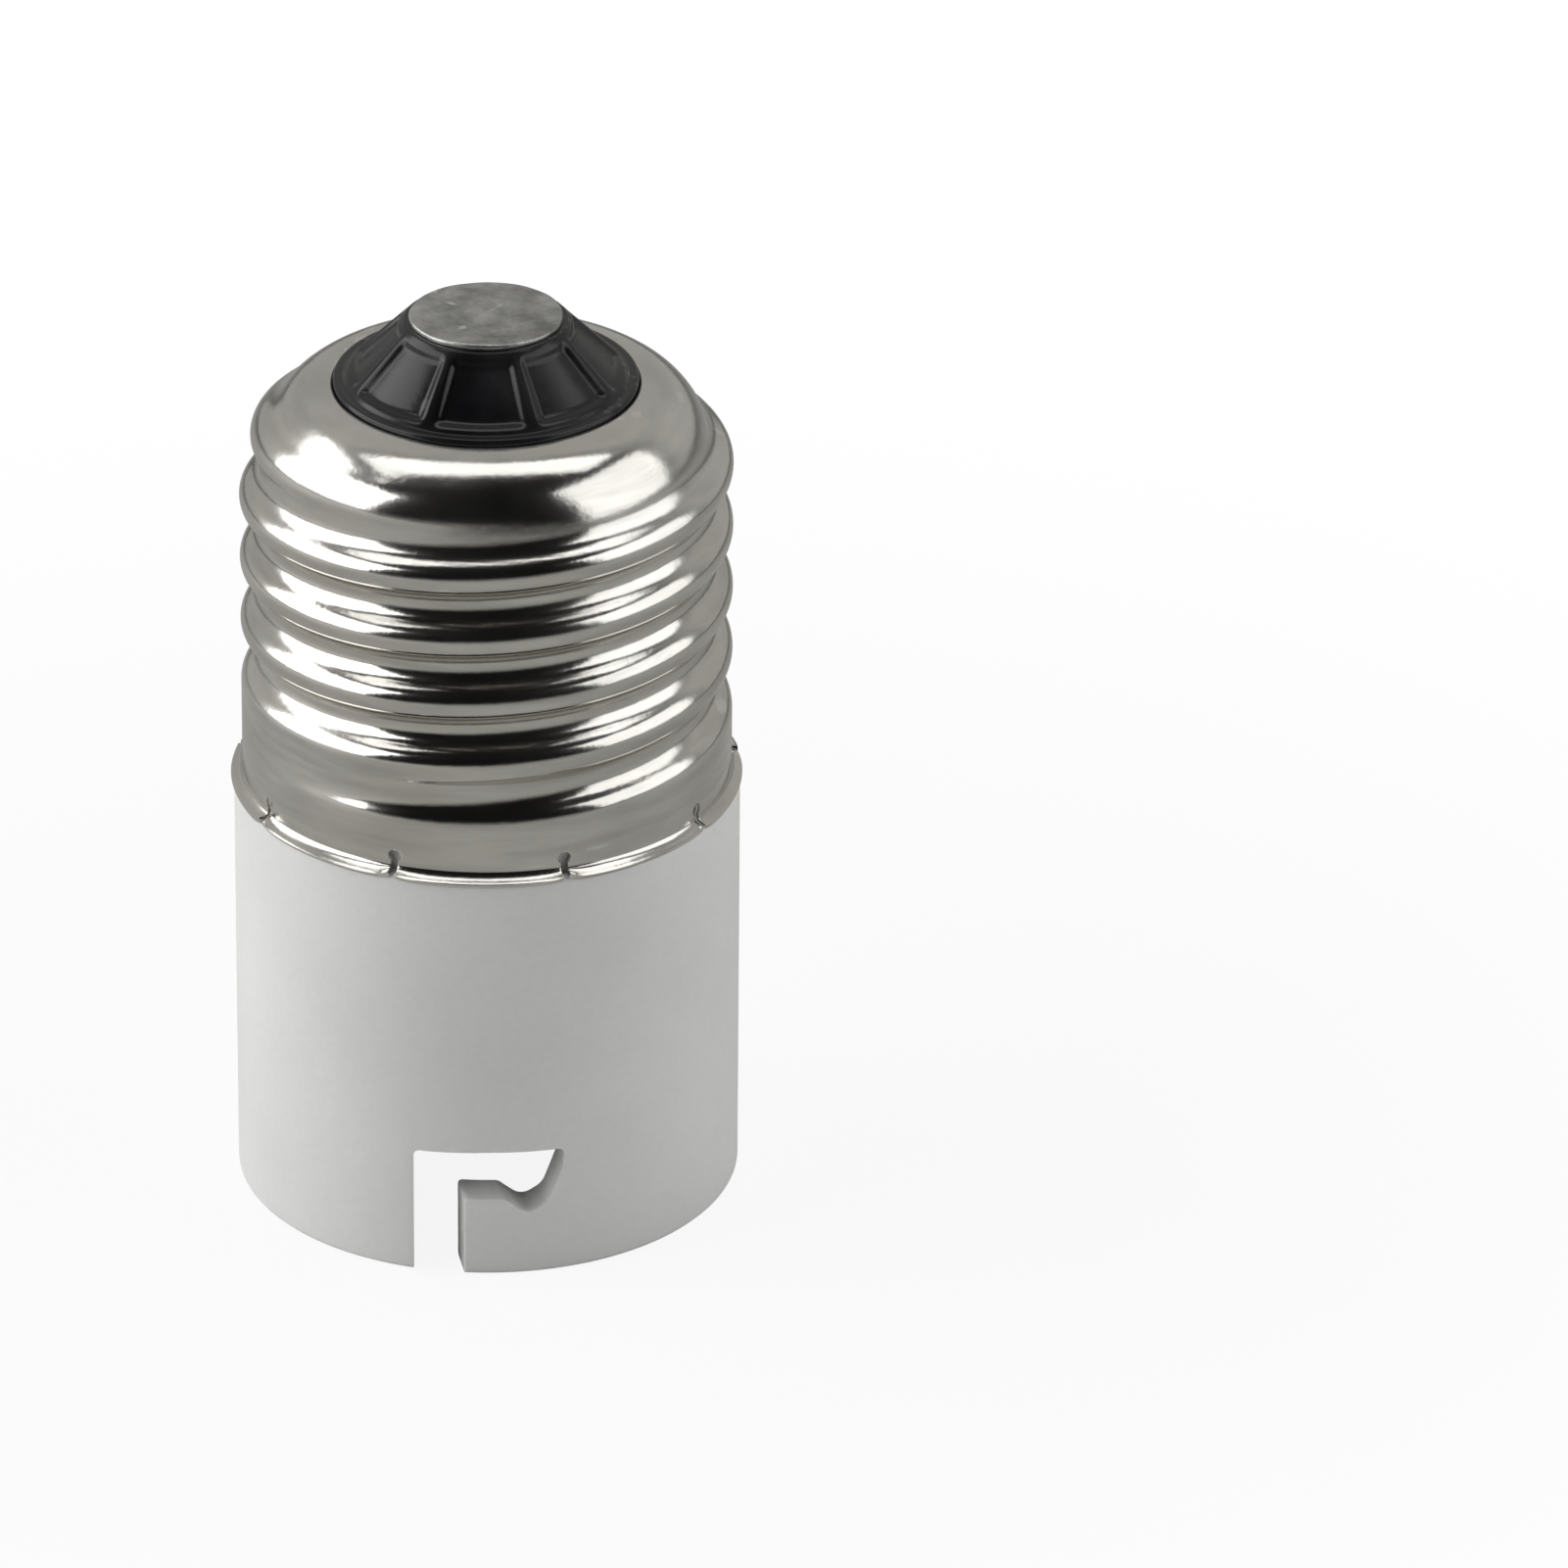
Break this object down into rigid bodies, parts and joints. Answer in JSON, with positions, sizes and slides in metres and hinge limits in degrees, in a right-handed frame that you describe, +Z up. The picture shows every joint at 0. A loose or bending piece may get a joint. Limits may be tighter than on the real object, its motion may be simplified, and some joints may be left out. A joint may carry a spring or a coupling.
{
  "type": "lamp socket adapter",
  "caption": "Lamp socket adapter: an Edison screw cap on top of a round moulded bayonet socket with J-slots and sprung contact plungers.",
  "frame": {"origin": "centre of the socket's rim, on the plane that the adapter stands on", "axes": "+Z up along the adapter's axis towards the screw cap's centre contact; the two plungers lie on X and the seats of the two J-slots on Y, with the entry of the -Y slot towards -X"},
  "size_m": [0.0276, 0.0276, 0.0506],
  "materials": {
    "body": "matt moulded, pale grey-white",
    "shell": "bright nickel plate on pressed sheet",
    "insulator": "gloss black",
    "contact": "dull tinned",
    "disc": "hard paper laminate",
    "steel": "zinc plated",
    "plunger": "turned, slightly tarnished",
    "terminal": "bright strip",
    "wire": "tinned copper",
    "sleeve_clear": "glass-fibre sleeving",
    "solder": "satin"
  },
  "bodies": {
    "adapter": {"socket_body": "body", "screw_shell": "shell", "cap_insulator": "insulator", "centre_contact": "contact", "retainer_disc": "disc", "retainer_screw": "steel", "plunger_spring_left": "steel", "plunger_spring_right": "steel", "terminal_left": "terminal", "terminal_right": "terminal", "centre_lead": "wire", "shell_lead": "wire", "centre_lead_sleeve": "sleeve_clear", "shell_lead_sleeve": "sleeve_clear", "solder_tag_left": "solder", "solder_tag_right": "solder", "solder_shell": "solder", "solder_centre": "solder"},
    "plunger_left": {"plunger_left": "plunger"},
    "plunger_right": {"plunger_right": "plunger"}
  },
  "joints": [
    {"name": "plunger_left_slide", "type": "slide", "parent": "adapter", "child": "plunger_left", "axis": [0, 0, 1], "range_m": [0, 0.003], "stiffness_N_per_m": 1000, "springref_m": -0.002, "deforming": ["plunger_spring_left"]},
    {"name": "plunger_right_slide", "type": "slide", "parent": "adapter", "child": "plunger_right", "axis": [0, 0, 1], "range_m": [0, 0.003], "stiffness_N_per_m": 1000, "springref_m": -0.002, "deforming": ["plunger_spring_right"]}
  ]
}
